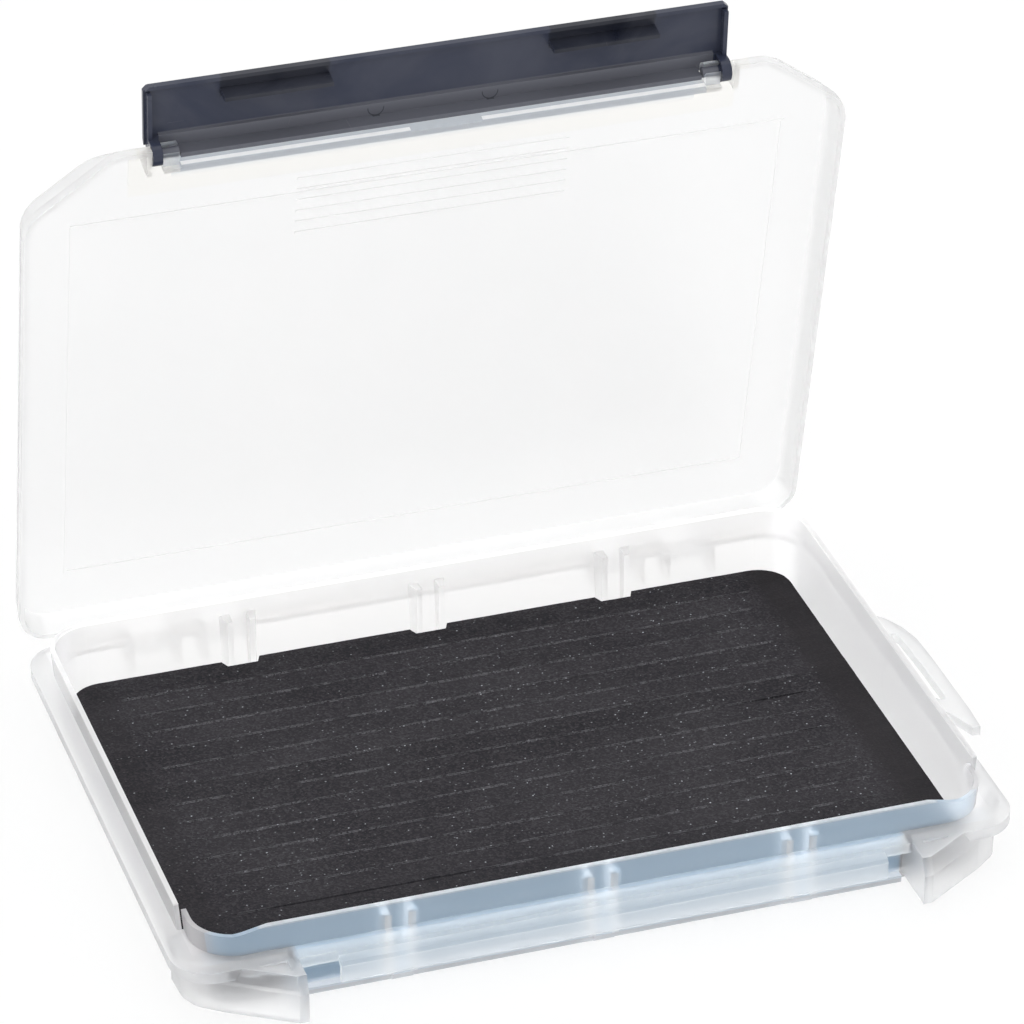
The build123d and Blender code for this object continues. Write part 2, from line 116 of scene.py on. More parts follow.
def ramp(tree, value, low, high, to_low=0.0, to_high=1.0):
    """A value brought smoothly from low..high to to_low..to_high, and held there past both ends."""
    inputs = {"Value": value, "From Min": low, "From Max": high, "To Min": to_low, "To Max": to_high}
    return put(tree, "ShaderNodeMapRange", inputs, interpolation_type="SMOOTHSTEP").outputs["Result"]


def tinted(tree, share, plain, other):
    """A colour between plain and other."""
    mix = put(tree, "ShaderNodeMix", data_type="RGBA")
    for socket, value in zip((mix.inputs["Factor"], mix.inputs[6], mix.inputs[7]), (share, plain, other)):
        if isinstance(value, bpy.types.NodeSocket):
            tree.links.new(value, socket)
        else:
            socket.default_value = value
    return mix.outputs[2]


def moulded_skin():
    """Node group for the skin of a moulding: satin grain, flow marks and the fine scuffs of a used case."""
    group = bpy.data.node_groups.new("moulded_skin", "ShaderNodeTree")
    group.interface.new_socket(name="Vector", in_out="INPUT", socket_type="NodeSocketVector")
    for name, value in (("Grain", SATIN_GRAIN), ("Flow", FLOW_MARKS), ("Scuffs", 0.3), ("Roughness", 0.3)):
        socket = group.interface.new_socket(name=name, in_out="INPUT", socket_type="NodeSocketFloat")
        socket.default_value = value
    for name in ("Roughness", "Height", "Haze"):
        group.interface.new_socket(name=name, in_out="OUTPUT", socket_type="NodeSocketFloat")
    given = put(group, "NodeGroupInput").outputs
    grain = put(group, "ShaderNodeTexNoise",
                {"Vector": given["Vector"], "Scale": given["Grain"], "Detail": 2.0, "Roughness": 0.6})
    flow = put(group, "ShaderNodeTexNoise",
               {"Vector": given["Vector"], "Scale": given["Flow"], "Detail": 4.0, "Distortion": 1.2})
    patches = put(group, "ShaderNodeTexNoise",
                  {"Vector": given["Vector"], "Scale": SCUFF_PATCHES, "Detail": 1.0})
    scuffs = 0.0
    for turn, stretch in SCUFF_LAYS:
        lie = put(group, "ShaderNodeMapping",
                  {"Vector": given["Vector"], "Rotation": (0.0, 0.0, turn), "Scale": stretch})
        lines = put(group, "ShaderNodeTexNoise",
                    {"Vector": lie.outputs["Vector"], "Scale": 1.0, "Detail": 1.0, "Roughness": 0.5})
        near = calc(group, "ABSOLUTE", calc(group, "SUBTRACT", lines.outputs["Fac"], 0.5))
        scuffs = calc(group, "ADD", scuffs, ramp(group, near, 0.0, SCUFF_WIDTH, 1.0, 0.0))
    scuffs = calc(group, "MULTIPLY", scuffs, ramp(group, patches.outputs["Fac"], 0.5, 0.62))
    scuffs = calc(group, "MULTIPLY", scuffs, given["Scuffs"])
    uneven = calc(group, "MULTIPLY", calc(group, "SUBTRACT", flow.outputs["Fac"], 0.5), 0.1)
    rough = calc(group, "ADD", given["Roughness"], uneven)
    rough = calc(group, "ADD", rough, calc(group, "MULTIPLY", scuffs, 0.25), clamp=True)
    height = calc(group, "SUBTRACT", grain.outputs["Fac"], scuffs)
    put(group, "NodeGroupOutput",
        {"Roughness": rough, "Height": height, "Haze": ramp(group, flow.outputs["Fac"], 0.3, 0.7)})
    return group


skin_group = moulded_skin()


def moulding(name, place=None, grain=SATIN_GRAIN, flow=FLOW_MARKS, scuffs=0.3, roughness=0.3, depth=0.02):
    """A new material with the moulded skin: the material, its shader, its skin and the place it reads."""
    material = bpy.data.materials.new(name)
    material.use_nodes = True
    tree = material.node_tree
    spot = put(tree, "ShaderNodeTexCoord").outputs["Object"]
    if place is not None:
        spot = put(tree, "ShaderNodeMapping", {"Vector": spot, "Location": place.to_translation(),
                                               "Rotation": place.to_euler()}).outputs["Vector"]
    skin = put(tree, "ShaderNodeGroup",
               {"Vector": spot, "Grain": grain, "Flow": flow, "Scuffs": scuffs, "Roughness": roughness},
               node_tree=skin_group)
    shader = tree.nodes["Principled BSDF"]
    tree.links.new(skin.outputs["Roughness"], shader.inputs["Roughness"])
    bump = put(tree, "ShaderNodeBump",
               {"Height": skin.outputs["Height"], "Distance": depth * MM, "Strength": 0.5})
    tree.links.new(bump.outputs["Normal"], shader.inputs["Normal"])
    return material, shader, skin, spot


def wear(piece, material):
    """Gives a CAD node or a piece this one material."""
    piece.data.materials.clear()
    piece.data.materials.append(material)


def up_to(tree, value, high, soft=0.3):
    """1 where a length is below a size in mm, with a soft end."""
    return ramp(tree, value, high * MM, (high + soft) * MM, 1.0, 0.0)


def between(tree, value, low, high, soft=0.3):
    """1 where a length lies between two sizes in mm, with soft ends."""
    rise = ramp(tree, value, (low - soft) * MM, low * MM)
    return calc(tree, "MULTIPLY", rise, up_to(tree, value, high, soft))


def both(tree, *masks):
    """Where all of these masks hold."""
    held = masks[0]
    for mask in masks[1:]:
        held = calc(tree, "MULTIPLY", held, mask)
    return held


tray_plastic, shader, skin, spot = moulding("milky_tray_plastic", roughness=0.42)
tree = tray_plastic.node_tree
shader.inputs["Transmission Weight"].default_value = TRAY_CLEAR
shader.inputs["IOR"].default_value = PLASTIC_IOR
shader.inputs["Alpha"].default_value = TRAY_BODY
x, y, z = put(tree, "ShaderNodeSeparateXYZ", {0: spot}).outputs
across = calc(tree, "ABSOLUTE", x)
# Painted shade: the foot is darker and bluer where the dark mat shows through it.
on_foot = both(tree, between(tree, y, FOOT_FRONT, FRONT_WALL_Y[1]), up_to(tree, across, FOOT_HALF),
               up_to(tree, z, RAIL_BOTTOM))
milk = tinted(tree, skin.outputs["Haze"], TRAY_MILK, TRAY_SHADE)
tree.links.new(tinted(tree, on_foot, milk, TRAY_FOOT_SHADE), shader.inputs["Base Color"])
lean = calc(tree, "MULTIPLY", calc(tree, "SUBTRACT", LIP_TOP * MM, z), WALL_LEAN)
inside = both(tree, up_to(tree, calc(tree, "ADD", across, lean), INSIDE_HALF_X),
              between(tree, y, *INSIDE_Y, 3.0), between(tree, z, FLOOR_TOP, LIP_TOP))
above_or_middle = calc(tree, "MAXIMUM", between(tree, z, FLANGE_TOP, LIP_TOP), up_to(tree, across, FOOT_HALF))
on_wall = both(tree, between(tree, y, *FRONT_WALL_Y), up_to(tree, across, FRONT_WALL_HALF, 4.0),
               between(tree, z, FLOOR_TOP, FRONT_WALL_TOP), above_or_middle)
on_rail = both(tree, between(tree, y, *RAIL_Y), up_to(tree, across, FOOT_HALF),
               between(tree, z, RAIL_BOTTOM, LIP_TOP))
ribs = 0.0
for rib_x in SLOT_RIBS_X:
    off = calc(tree, "ABSOLUTE", calc(tree, "SUBTRACT", x, rib_x * MM))
    rib = between(tree, off, SLOT_RIB_OFF - SLOT_RIB_HALF, SLOT_RIB_OFF + SLOT_RIB_HALF)
    ribs = calc(tree, "ADD", ribs, rib)
on_rib = both(tree, ribs, between(tree, y, *SLOT_RIB_Y), between(tree, z, FLOOR_TOP, SLOT_RIB_TOP))
on_side = ramp(tree, across, SIDE_WALL_X[0] * MM, SIDE_WALL_X[1] * MM)
# Painted light by region: the inside and the side walls each get their own glow, the rail and the ribs a
# lighter one, and the front wall a blue one for the dark mat seen through it.
glow = tinted(tree, inside, SKIN_GLOW, tinted(tree, on_side, INNER_GLOW, SIDE_GLOW))
glow = tinted(tree, on_rail, glow, RAIL_GLOW)
glow = tinted(tree, on_wall, glow, WALL_GLOW)
glow = tinted(tree, on_rib, glow, RIB_GLOW)
# Painted highlight: a near-white glow along the lip's top edge.
glow = tinted(tree, between(tree, z, LIP_TOP - EDGE_BAND, LIP_TOP + 1.0), glow, LIP_EDGE_HIGHLIGHT)
tree.links.new(glow, shader.inputs["Emission Color"])
shader.inputs["Emission Strength"].default_value = GLOW
base_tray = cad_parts["base_tray"]
wear(base_tray, tray_plastic)


# Foam mat. A sheet of charcoal closed-cell foam, loose in the tray, die cut with a rounded outline and with
# notches for the divider ribs. It is slit from side to side every 10 mm to hold hooks. The cut edges stand
# up a little as light lines, and a few of the slits stand open.
SLIT_PITCH = 10.0 * MM
SLITS_EACH_SIDE = 7
SLIT_REACH = 103.5 * MM
SLIT_DEPTH = 1.8 * MM
LIP_HEIGHT = 0.2 * MM
ROW_STEPS = (0.0, 0.08, 0.3, 0.55, 0.95, 1.8, 3.2)
COLUMN_STEP = 1.25 * MM
ROWS_EACH_SIDE = 9
SHEET_SPARE = 3.0 * MM
SLIT_SEED = 11.0
# Slits that stand open: number from the middle, start and end along X, and width, in mm
STANDING_OPEN = ((-5, -96.0, -22.0, 0.35), (-6, -4.0, 62.0, 0.22),
                 (1, 76.0, 102.0, 0.4), (-1, 84.0, 100.0, 0.25))
OPEN_FADE = 12.0
OPEN_SPREAD = 3.2
RAGGED_ALONG = 160.0
WANDER = 0.9 * MM
STRIP_TILT = 0.03
SLACK = 0.34 * MM
PORES = 700.0
PORE_DEPTH = 0.12 * MM
FOAM_CELLS = 1700.0
FOAM_FINE = 2600.0
FOAM_CLOUDS = 26.0
MARGIN_X = (101.5, 108.0)
FRONT_DIM_Y = (-85.0, -30.0)
FRONT_SHADE = 0.3
FOAM_DARK = (0.014, 0.013, 0.016, 1.0)
FOAM_LIGHT = (0.046, 0.043, 0.049, 1.0)
FOAM_LIP = (0.15, 0.148, 0.16, 1.0)
FOAM_MARGIN = (0.017, 0.015, 0.017, 1.0)
FOAM_GLINT = (0.5, 0.52, 0.56, 1.0)

low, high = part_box("foam_mat")
foam_thick = high.z - low.z


def plain_copy(name, source, modifiers):
    """The mesh of source after these modifiers, as a new object's own mesh; the source is removed."""
    for kind, settings in modifiers:
        modifier = source.modifiers.new(kind.lower(), kind)
        for key, value in settings.items():
            setattr(modifier, key, value)
    bpy.context.view_layer.update()
    graph = bpy.context.evaluated_depsgraph_get()
    mesh = bpy.data.meshes.new_from_object(source.evaluated_get(graph))
    bpy.data.objects.remove(source)
    made = bpy.data.objects.new(name, mesh)
    bpy.context.scene.collection.objects.link(made)
    return made


def merged_outline():
    """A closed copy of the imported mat, stretched past the sheet up and down, to cut its outline with."""
    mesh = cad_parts["foam_mat"].data.copy()
    work = bmesh.new()
    work.from_mesh(mesh)
    bmesh.ops.remove_doubles(work, verts=work.verts, dist=0.002 * MM)
    middle = (low.z + high.z) / 2
    for vertex in work.verts:
        vertex.co.z = middle + 3.0 * (vertex.co.z - middle)
    work.to_mesh(mesh)
    work.free()
    outline = bpy.data.objects.new("mat_outline", mesh)
    bpy.context.scene.collection.objects.link(outline)
    return outline


def foam_sheet():
    """The sheet's top as a grid, with its rows drawn together along each slit."""
    ys = set()
    for slit in range(-ROWS_EACH_SIDE, ROWS_EACH_SIDE + 1):
        for step in ROW_STEPS:
            ys.update((slit * SLIT_PITCH + step * MM, slit * SLIT_PITCH - step * MM))
        ys.add((slit + 0.5) * SLIT_PITCH)
    ys = sorted(y for y in ys if low.y - SHEET_SPARE < y < high.y + SHEET_SPARE)
    columns = math.ceil((high.x - low.x + 2 * SHEET_SPARE) / COLUMN_STEP)
    xs = [low.x - SHEET_SPARE + i * COLUMN_STEP for i in range(columns + 1)]
    points = [(x, y, high.z) for y in ys for x in xs]
    wide = len(xs)
    faces = [(r * wide + c, r * wide + c + 1, (r + 1) * wide + c + 1, (r + 1) * wide + c)
             for r in range(len(ys) - 1) for c in range(wide - 1)]
    mesh = bpy.data.meshes.new("foam_sheet")
    mesh.from_pydata(points, [], faces)
    sheet = bpy.data.objects.new("foam_sheet", mesh)
    bpy.context.scene.collection.objects.link(sheet)
    return sheet


def slit_tree():
    """Geometry Nodes that cut the slits into the top, raise their lips and leave the strips uneven."""
    tree = bpy.data.node_groups.new("foam_slits", "GeometryNodeTree")
    tree.interface.new_socket(name="Geometry", in_out="INPUT", socket_type="NodeSocketGeometry")
    numbers = {"Slit Pitch": SLIT_PITCH, "Slits Each Side": SLITS_EACH_SIDE + 0.5,
               "Slit Reach": SLIT_REACH, "Slit Depth": SLIT_DEPTH, "Lip Height": LIP_HEIGHT,
               "Top Above": high.z - 0.1 * MM, "Seed": SLIT_SEED}
    for name, value in numbers.items():
        socket = tree.interface.new_socket(name=name, in_out="INPUT", socket_type="NodeSocketFloat")
        socket.default_value = value
    tree.interface.new_socket(name="Foam", in_out="INPUT", socket_type="NodeSocketMaterial")
    tree.interface.new_socket(name="Geometry", in_out="OUTPUT", socket_type="NodeSocketGeometry")
    given = put(tree, "NodeGroupInput").outputs
    place = put(tree, "GeometryNodeInputPosition").outputs[0]
    x, y, z = put(tree, "ShaderNodeSeparateXYZ", {0: place}).outputs
    across = calc(tree, "ABSOLUTE", x)

    slit = calc(tree, "ROUND", calc(tree, "DIVIDE", y, given["Slit Pitch"]))
    off = calc(tree, "SUBTRACT", y, calc(tree, "MULTIPLY", slit, given["Slit Pitch"]))
    off_mm = calc(tree, "DIVIDE", calc(tree, "ABSOLUTE", off), MM)
    chance = put(tree, "ShaderNodeTexWhiteNoise", {"W": calc(tree, "ADD", slit, given["Seed"])},
                 noise_dimensions="1D").outputs["Value"]
    reach = calc(tree, "SUBTRACT", given["Slit Reach"], calc(tree, "MULTIPLY", chance, 3.5 * MM))
    ends = ramp(tree, calc(tree, "SUBTRACT", reach, across), 0.0, 2.5 * MM)
    is_slit = calc(tree, "LESS_THAN", calc(tree, "ABSOLUTE", slit), given["Slits Each Side"])
    cut = calc(tree, "MULTIPLY", ends, is_slit)

    along = put(tree, "ShaderNodeCombineXYZ",
                {"X": calc(tree, "MULTIPLY", x, RAGGED_ALONG), "Y": calc(tree, "MULTIPLY", slit, 7.3),
                 "Z": given["Seed"]})
    ragged = put(tree, "ShaderNodeTexNoise",
                 {"Vector": along.outputs[0], "Scale": 1.0, "Detail": 3.0, "Roughness": 0.7}).outputs["Fac"]
    ragged = ramp(tree, ragged, 0.28, 0.62, 0.15, 1.0)
    ridge = calc(tree, "DIVIDE", calc(tree, "ABSOLUTE", calc(tree, "SUBTRACT", off_mm, 0.3)), 0.4)
    ridge = calc(tree, "SUBTRACT", 1.0, ridge, clamp=True)
    lip = calc(tree, "MULTIPLY", calc(tree, "MULTIPLY", ridge, ragged), cut)

    gape = 0.0
    standing = 0.0
    for number, start, end, width in STANDING_OPEN:
        open_here = both(tree, calc(tree, "COMPARE", slit, float(number), 0.5),
                         ramp(tree, x, start * MM, (start + OPEN_FADE) * MM),
                         ramp(tree, x, (end - OPEN_FADE) * MM, end * MM, 1.0, 0.0))
        gape = calc(tree, "ADD", gape, calc(tree, "MULTIPLY", open_here, width * MM))
        standing = calc(tree, "ADD", standing, open_here)
    lip = calc(tree, "MULTIPLY", lip, calc(tree, "SUBTRACT", 1.0, standing, clamp=True))
    spread = calc(tree, "SUBTRACT", 1.0, calc(tree, "DIVIDE", off_mm, OPEN_SPREAD), clamp=True)
    spread = calc(tree, "MULTIPLY", calc(tree, "MULTIPLY", spread, gape), calc(tree, "SIGN", off))
    row = put(tree, "ShaderNodeCombineXYZ",
              {"X": calc(tree, "MULTIPLY", x, 30.0), "Y": calc(tree, "MULTIPLY", slit, 3.1)}).outputs[0]
    wander = put(tree, "ShaderNodeTexNoise", {"Vector": row, "Scale": 1.0, "Detail": 2.0}).outputs["Fac"]
    wander = calc(tree, "MULTIPLY", calc(tree, "SUBTRACT", wander, 0.5), WANDER)
    wander = calc(tree, "MULTIPLY", wander, cut)

    groove = calc(tree, "SUBTRACT", 1.0, calc(tree, "DIVIDE", off_mm, 0.07), clamp=True)
    groove = calc(tree, "MULTIPLY", calc(tree, "MULTIPLY", groove, cut), given["Slit Depth"])
    strip = calc(tree, "FLOOR", calc(tree, "DIVIDE", y, given["Slit Pitch"]))
    strip_chance = put(tree, "ShaderNodeTexWhiteNoise", {"W": calc(tree, "ADD", strip, given["Seed"])},
                       noise_dimensions="1D").outputs["Value"]
    tilt = calc(tree, "MULTIPLY", calc(tree, "SUBTRACT", strip_chance, 0.5),
                calc(tree, "MULTIPLY", off, STRIP_TILT))
    slack = put(tree, "ShaderNodeTexNoise", {"Vector": place, "Scale": 38.0, "Detail": 2.0}).outputs["Fac"]
    slack = calc(tree, "MULTIPLY", calc(tree, "SUBTRACT", slack, 0.55), SLACK)
    pores = put(tree, "ShaderNodeTexNoise", {"Vector": place, "Scale": PORES, "Detail": 2.0}).outputs["Fac"]
    pores = calc(tree, "MULTIPLY", calc(tree, "SUBTRACT", pores, 0.5), PORE_DEPTH)
    rise = calc(tree, "MULTIPLY", lip, given["Lip Height"])
    for part in (slack, pores, tilt):
        rise = calc(tree, "ADD", rise, part)
    rise = calc(tree, "SUBTRACT", rise, groove)

    top = calc(tree, "GREATER_THAN", z, given["Top Above"])
    shift = put(tree, "ShaderNodeCombineXYZ", {"Y": calc(tree, "ADD", spread, wander), "Z": rise}).outputs[0]
    moved = put(tree, "GeometryNodeSetPosition",
                {"Geometry": given["Geometry"], "Selection": top, "Offset": shift})
    kept = moved.outputs[0]
    for name, value in (("lip", lip), ("strip", strip_chance)):
        store = put(tree, "GeometryNodeStoreNamedAttribute", {"Geometry": kept, "Name": name},
                    data_type="FLOAT", domain="POINT")
        tree.links.new(value, store.inputs["Value"])
        kept = store.outputs[0]
    real = put(tree, "GeometryNodeRealizeInstances", {"Geometry": kept}).outputs[0]
    dressed = put(tree, "GeometryNodeSetMaterial", {"Geometry": real, "Material": given["Foam"]}).outputs[0]
    put(tree, "NodeGroupOutput", {"Geometry": dressed})
    return tree


foam_skin = bpy.data.materials.new("charcoal_foam")
foam_skin.use_nodes = True
tree = foam_skin.node_tree
shader = tree.nodes["Principled BSDF"]
spot = put(tree, "ShaderNodeTexCoord").outputs["Object"]
lip = put(tree, "ShaderNodeAttribute", attribute_name="lip").outputs["Fac"]
strip = put(tree, "ShaderNodeAttribute", attribute_name="strip").outputs["Fac"]
cells = put(tree, "ShaderNodeTexVoronoi", {"Vector": spot, "Scale": FOAM_CELLS})
cloud = put(tree, "ShaderNodeTexNoise", {"Vector": spot, "Scale": FOAM_CLOUDS, "Detail": 4.0}).outputs["Fac"]
fine = put(tree, "ShaderNodeTexNoise", {"Vector": spot, "Scale": FOAM_FINE, "Detail": 2.0}).outputs["Fac"]
few, other, _ = put(tree, "ShaderNodeSeparateColor", {0: cells.outputs["Color"]}).outputs
x, y, z = put(tree, "ShaderNodeSeparateXYZ", {0: spot}).outputs
margin = ramp(tree, calc(tree, "ABSOLUTE", x), MARGIN_X[0] * MM, MARGIN_X[1] * MM)
margin = calc(tree, "MULTIPLY", margin, ramp(tree, x, -40.0 * MM, 60.0 * MM, 0.45, 1.0))
# Painted glints: light specks in the colour stand for foam cells catching the light, a few more towards +X.
glints = calc(tree, "ADD", few, calc(tree, "MULTIPLY", lip, 0.02))
glints = calc(tree, "ADD", glints, calc(tree, "MULTIPLY", calc(tree, "SUBTRACT", cloud, 0.5), 0.04))
glints = calc(tree, "ADD", glints, ramp(tree, x, -50.0 * MM, 60.0 * MM, 0.0, 0.008))
glints = calc(tree, "MULTIPLY", ramp(tree, glints, 0.97, 1.0), calc(tree, "POWER", other, 2.0))
glints = calc(tree, "MULTIPLY", glints, ramp(tree, cells.outputs["Distance"], 0.55, 0.3))
glints = calc(tree, "MULTIPLY", glints, calc(tree, "SUBTRACT", 1.0, margin))
shade = calc(tree, "ADD", calc(tree, "MULTIPLY", strip, 0.25),
             calc(tree, "MULTIPLY", calc(tree, "POWER", few, 2.0), 0.9))
shade = calc(tree, "ADD", shade, calc(tree, "MULTIPLY", calc(tree, "SUBTRACT", cloud, 0.5), 0.4), clamp=True)
# Painted shade: the foam is darker towards the front wall.
dim = ramp(tree, y, FRONT_DIM_Y[0] * MM, FRONT_DIM_Y[1] * MM, FRONT_SHADE, 1.0)
shade = calc(tree, "MULTIPLY", shade, dim)
colour = tinted(tree, shade, FOAM_DARK, FOAM_LIGHT)
colour = tinted(tree, calc(tree, "MULTIPLY", margin, 0.75), colour, FOAM_MARGIN)
broken = calc(tree, "MULTIPLY", ramp(tree, lip, 0.15, 0.8), ramp(tree, other, 0.1, 0.8, 0.1, 1.0))
colour = tinted(tree, calc(tree, "MULTIPLY", broken, 0.8), colour, FOAM_LIP)
colour = tinted(tree, glints, colour, FOAM_GLINT)
tree.links.new(colour, shader.inputs["Base Color"])
tree.links.new(ramp(tree, cloud, 0.3, 0.7, 0.95, 0.8), shader.inputs["Roughness"])
shader.inputs["Specular IOR Level"].default_value = 0.25
height = calc(tree, "ADD", fine, calc(tree, "MULTIPLY", cells.outputs["Distance"], 0.8))
bump = put(tree, "ShaderNodeBump", {"Height": height, "Distance": 0.12 * MM, "Strength": 0.7})
tree.links.new(bump.outputs["Normal"], shader.inputs["Normal"])

outline = merged_outline()
sheet = plain_copy("foam_blank", foam_sheet(), [
    ("SOLIDIFY", {"thickness": foam_thick, "offset": -1.0}),
    ("BOOLEAN", {"operation": "INTERSECT", "object": outline, "solver": "EXACT"}),
])
bpy.data.objects.remove(outline)
work = bmesh.new()
work.from_mesh(sheet.data)
under = [face for face in work.faces
         if face.calc_center_median().z < low.z + 0.05 * MM and face.normal.z < -0.9]
bmesh.ops.dissolve_faces(work, faces=under, use_verts=True)
work.to_mesh(sheet.data)
work.free()
slits = sheet.modifiers.new("slits", "NODES")
slits.node_group = slit_tree()
for item in slits.node_group.interface.items_tree:
    if item.item_type == "SOCKET" and item.in_out == "INPUT" and item.name == "Foam":
        slits[item.identifier] = foam_skin
slit_mat = plain_copy("slit_mat", sheet, [])
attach(slit_mat, "case")
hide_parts("foam_mat")


# Lid. One moulding in the same milky polypropylene as the tray, thinner and nearly clear over its panel. A
# thicker band along the latch notch is a little cream. The skirt, bead and clips by the dark latch carry a
# painted blue-grey shade for the latch seen through them, and the bead's outer edge a painted white
# highlight;
# the whole lid has a weak painted glow. Its trunnions snap into the tray's hinge posts.
LID_OPEN = math.radians(77.9)
LID_HINGE = Vector((0.0, 91.5, 11.5)) * MM
LID_MILK = (0.995, 0.995, 0.998, 1.0)
LID_SHADE = (0.985, 0.988, 0.992, 1.0)
PAD_CREAM = (0.98, 0.965, 0.915, 1.0)
BEAD_PAINTED_SHADE = (0.50, 0.57, 0.66, 1.0)
LID_PAINTED_GLOW = (0.085, 0.085, 0.087, 1.0)
BEAD_EDGE_HIGHLIGHT = (1.0, 1.0, 1.0, 1.0)
PAD_EDGE_Y = -75.5
PAD_HALF = 93.0
SKIRT_Y = (-92.0, -84.5)
SKIRT_FADE_Y = (-84.5, -82.5)
SKIRT_TOP = 26.9
BEAD_HALF = 80.4
BEAD_Y = (-94.0, -92.05)
BEAD_Z = (17.0, 20.6)
CLIP_END = 85.4
CLIP_Y = (-99.0, -91.3)
LID_CLEAR = 0.95
LID_BODY = 0.5


def shut_about(axis_point, angle):
    """The turn about an axis along X that takes a place in the open model to its place when shut."""
    return Matrix.Translation(axis_point) @ Matrix.Rotation(angle, 4, "X") @ Matrix.Translation(-axis_point)


lid_shut = shut_about(LID_HINGE, LID_OPEN)
lid_plastic, shader, skin, spot = moulding("milky_lid_plastic", lid_shut, scuffs=0.25, roughness=0.36)
tree = lid_plastic.node_tree
x, y, z = put(tree, "ShaderNodeSeparateXYZ", {0: spot}).outputs
across = calc(tree, "ABSOLUTE", x)
band = both(tree, up_to(tree, y, PAD_EDGE_Y, 1.0), up_to(tree, across, PAD_HALF, 1.0))
milk = tinted(tree, skin.outputs["Haze"], LID_MILK, LID_SHADE)
milk = tinted(tree, band, milk, PAD_CREAM)
# Painted shade: blue-grey on the skirt, bead and clips for the dark latch seen through them.
on_skirt = calc(tree, "MAXIMUM", between(tree, y, *SKIRT_Y, 0.1), between(tree, y, *SKIRT_FADE_Y, 2.5))
latch_shade = both(tree, on_skirt, up_to(tree, across, BEAD_HALF), up_to(tree, z, SKIRT_TOP, 0.5))
clips = both(tree, between(tree, across, BEAD_HALF, CLIP_END, 0.2), between(tree, y, *CLIP_Y))
# Painted highlight: a white glow along the bead's outer edge; elsewhere the lid gets a weak painted glow.
edge = both(tree, between(tree, y, *BEAD_Y, 0.1), between(tree, z, *BEAD_Z), up_to(tree, across, BEAD_HALF))
milk = tinted(tree, calc(tree, "MAXIMUM", latch_shade, clips), milk, BEAD_PAINTED_SHADE)
tree.links.new(milk, shader.inputs["Base Color"])
tree.links.new(tinted(tree, edge, LID_PAINTED_GLOW, BEAD_EDGE_HIGHLIGHT), shader.inputs["Emission Color"])
shader.inputs["Emission Strength"].default_value = GLOW
shader.inputs["Transmission Weight"].default_value = LID_CLEAR
shader.inputs["Alpha"].default_value = LID_BODY
shader.inputs["IOR"].default_value = PLASTIC_IOR
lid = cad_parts["lid"]
wear(lid, lid_plastic)


# Latch bar. One moulding in glossy smoke-blue plastic, darker on its two hooks. The stiff band by its pivot,
# which bears two ejector marks, is painted greyer for the light its sloping face catches. Its trunnions snap
# into the lid's clips, and the hooks catch under the tray's rail.
LATCH_OPEN = math.radians(97.6)
LATCH_PIVOT = Vector((0.0, -94.1, 21.8)) * MM
SMOKE_PLATE = (0.024, 0.030, 0.056, 1.0)
SMOKE_HOOK = (0.005, 0.007, 0.016, 1.0)
SMOKE_LIT_BAND_AND_FLOW = (0.118, 0.122, 0.145, 1.0)
SMOKE_MARK = (0.03, 0.032, 0.04, 1.0)
HOOK_X = (34.0, 65.8)
HOOK_TOP = 8.0
BAND_Z = (17.2, 17.9)
BAND_Y = (-99.0, -97.0)
BAND_HALF = 84.8
PIN_MARKS = ((-19.5, 19.6), (15.5, 19.6))
PIN_MARK_RADIUS = 2.4
PIN_MARK_LINE = 0.1

latch_shut = shut_about(LATCH_PIVOT, LATCH_OPEN) @ lid_shut
latch_plastic, shader, skin, spot = moulding(
    "smoke_latch_plastic", latch_shut, grain=900.0, flow=30.0, scuffs=0.15, roughness=0.24, depth=0.006)
tree = latch_plastic.node_tree
x, y, z = put(tree, "ShaderNodeSeparateXYZ", {0: spot}).outputs
side = calc(tree, "ABSOLUTE", x)
on_hook = both(tree, between(tree, side, *HOOK_X, 1.0), up_to(tree, z, HOOK_TOP, 1.0))
# Painted light: the band above the step is painted greyer for the light its sloping face catches; the same
# grey, at a quarter, also tints the flow haze.
lit_band = both(tree, ramp(tree, z, BAND_Z[0] * MM, BAND_Z[1] * MM), up_to(tree, side, BAND_HALF))
smoke = tinted(tree, lit_band, SMOKE_PLATE, SMOKE_LIT_BAND_AND_FLOW)
smoke = tinted(tree, on_hook, smoke, SMOKE_HOOK)
smoke = tinted(tree, calc(tree, "MULTIPLY", skin.outputs["Haze"], 0.25), smoke, SMOKE_LIT_BAND_AND_FLOW)
flat = put(tree, "ShaderNodeCombineXYZ", {"X": x, "Z": z}).outputs["Vector"]
for mark_x, mark_z in PIN_MARKS:
    away = put(tree, "ShaderNodeVectorMath", {0: flat, 1: (mark_x * MM, 0.0, mark_z * MM)},
               operation="DISTANCE").outputs["Value"]
    line = between(tree, away, PIN_MARK_RADIUS - PIN_MARK_LINE, PIN_MARK_RADIUS + PIN_MARK_LINE, 0.12)
    upper_half = ramp(tree, z, (mark_z - 0.6) * MM, (mark_z + 0.2) * MM)
    ring = both(tree, line, upper_half, between(tree, y, *BAND_Y))
    smoke = tinted(tree, calc(tree, "MULTIPLY", ring, 0.7), smoke, SMOKE_MARK)
tree.links.new(smoke, shader.inputs["Base Color"])
shader.inputs["Specular IOR Level"].default_value = 0.3
latch_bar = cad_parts["latch_bar"]
wear(latch_bar, latch_plastic)


# The studio. A pale floor under the case, a white surround, one broad lamp overhead and two weak ones at the
# sides. The camera stands at the photograph's viewing angle.
FLOOR_HALF = 4.0
FLOOR_DROP = 0.0002
FLOOR_WHITE = (0.9, 0.9, 0.9, 1.0)
FLOOR_SEEN = 0.75
EYE = Vector((-0.4511, -1.3769, 0.9645))
EYE_RIGHT = Vector((0.9502, -0.3117, 0.0))
EYE_UP = Vector((0.1605, 0.4892, 0.8573))
LENS_MM = 203.44

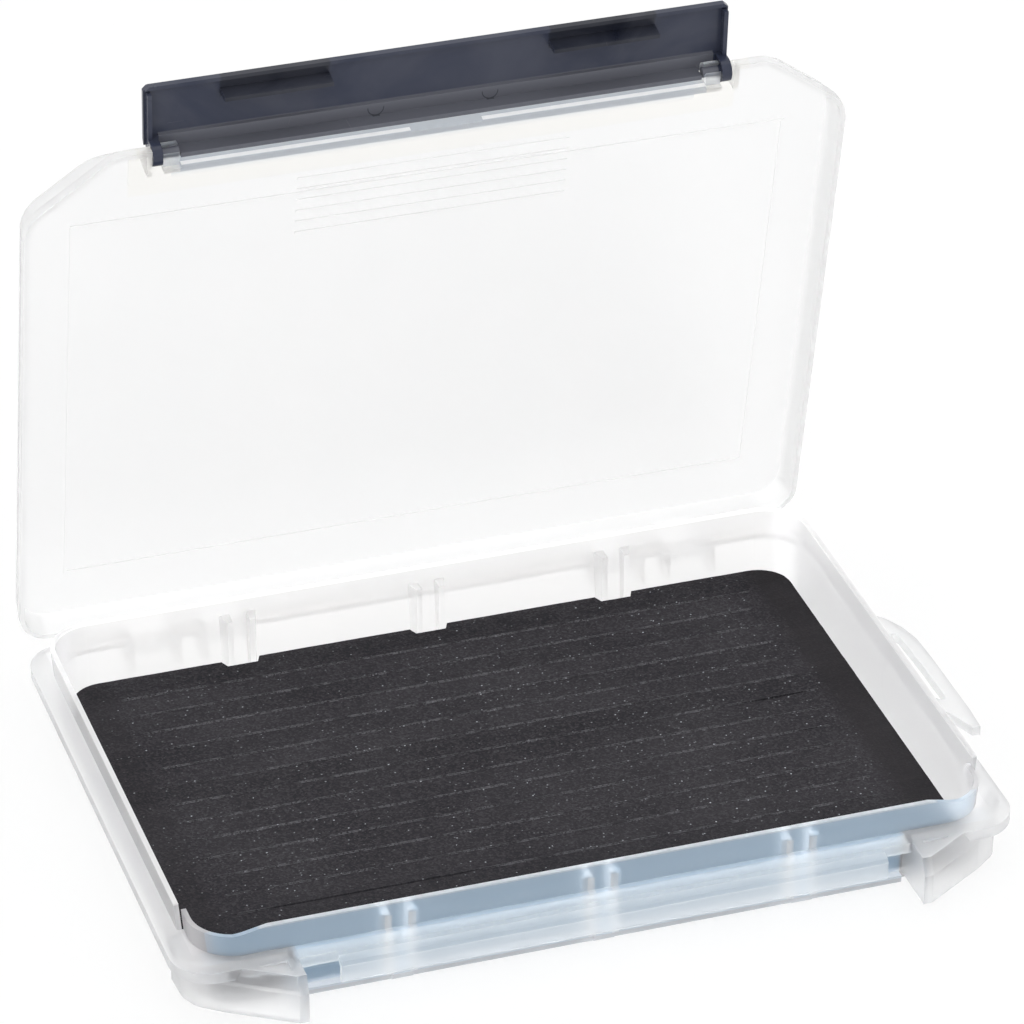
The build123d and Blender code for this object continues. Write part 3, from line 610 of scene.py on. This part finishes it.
floor_mesh = bpy.data.meshes.new("studio_floor")
corners = [(x * FLOOR_HALF, y * FLOOR_HALF, -FLOOR_DROP) for x, y in ((-1, -1), (1, -1), (1, 1), (-1, 1))]
floor_mesh.from_pydata(corners, [], [(0, 1, 2, 3)])
studio_floor = bpy.data.objects.new("studio_floor", floor_mesh)
bpy.context.scene.collection.objects.link(studio_floor)
paper = bpy.data.materials.new("white_paper")
paper.use_nodes = True
tree = paper.node_tree
shader = tree.nodes["Principled BSDF"]
shader.inputs["Base Color"].default_value = FLOOR_WHITE
shader.inputs["Roughness"].default_value = 0.9
rays = put(tree, "ShaderNodeLightPath").outputs
seen = calc(tree, "MAXIMUM", calc(tree, "MAXIMUM", rays["Is Camera Ray"], rays["Is Glossy Ray"]),
            rays["Is Transmission Ray"])
glow = put(tree, "ShaderNodeEmission", {"Color": (1.0, 1.0, 1.0, 1.0), "Strength": 1.0})
blend = put(tree, "ShaderNodeMixShader", {0: calc(tree, "MULTIPLY", seen, FLOOR_SEEN)})
tree.links.new(shader.outputs[0], blend.inputs[1])
tree.links.new(glow.outputs[0], blend.inputs[2])
tree.links.new(blend.outputs[0], tree.nodes["Material Output"].inputs["Surface"])
wear(studio_floor, paper)

world = bpy.data.worlds.new("studio")
bpy.context.scene.world = world
world.use_nodes = True
tree = world.node_tree
tree.nodes["Background"].inputs["Strength"].default_value = 1.0
tree.nodes["Background"].inputs["Color"].default_value = (1.0, 1.0, 1.0, 1.0)


def lamp(name, place, aim, size, watts):
    """A square soft box at place, facing aim."""
    data = bpy.data.lights.new(name, "AREA")
    data.size = size
    data.energy = watts
    light = bpy.data.objects.new(name, data)
    bpy.context.scene.collection.objects.link(light)
    light.location = place
    light.rotation_mode = "QUATERNION"
    light.rotation_quaternion = (Vector(aim) - Vector(place)).to_track_quat("-Z", "Y")


lamp("overhead", (0.15, 0.1, 1.6), (0.0, 0.0, 0.0), 1.4, 4.0)
lamp("left_side", (-1.3, -0.6, 0.9), (0.0, 0.0, 0.05), 0.9, 1.5)
lamp("right_side", (1.2, -0.9, 0.8), (0.0, 0.0, 0.05), 0.9, 1.0)

camera = bpy.data.objects.new("camera", bpy.data.cameras.new("camera"))
bpy.context.scene.collection.objects.link(camera)
camera.data.lens = LENS_MM
camera.data.sensor_width = 36.0
camera.data.clip_end = 20.0
turn = Matrix((EYE_RIGHT, EYE_UP, EYE_RIGHT.cross(EYE_UP))).transposed()
camera.matrix_world = Matrix.Translation(EYE) @ turn.to_4x4()
bpy.context.scene.camera = camera
bpy.context.scene.view_settings.view_transform = "Standard"
light_paths = bpy.context.scene.cycles
light_paths.max_bounces = 18
light_paths.diffuse_bounces = 8
light_paths.glossy_bounces = 8
light_paths.transmission_bounces = 16
light_paths.transparent_max_bounces = 16

bpy.context.view_layer.update()
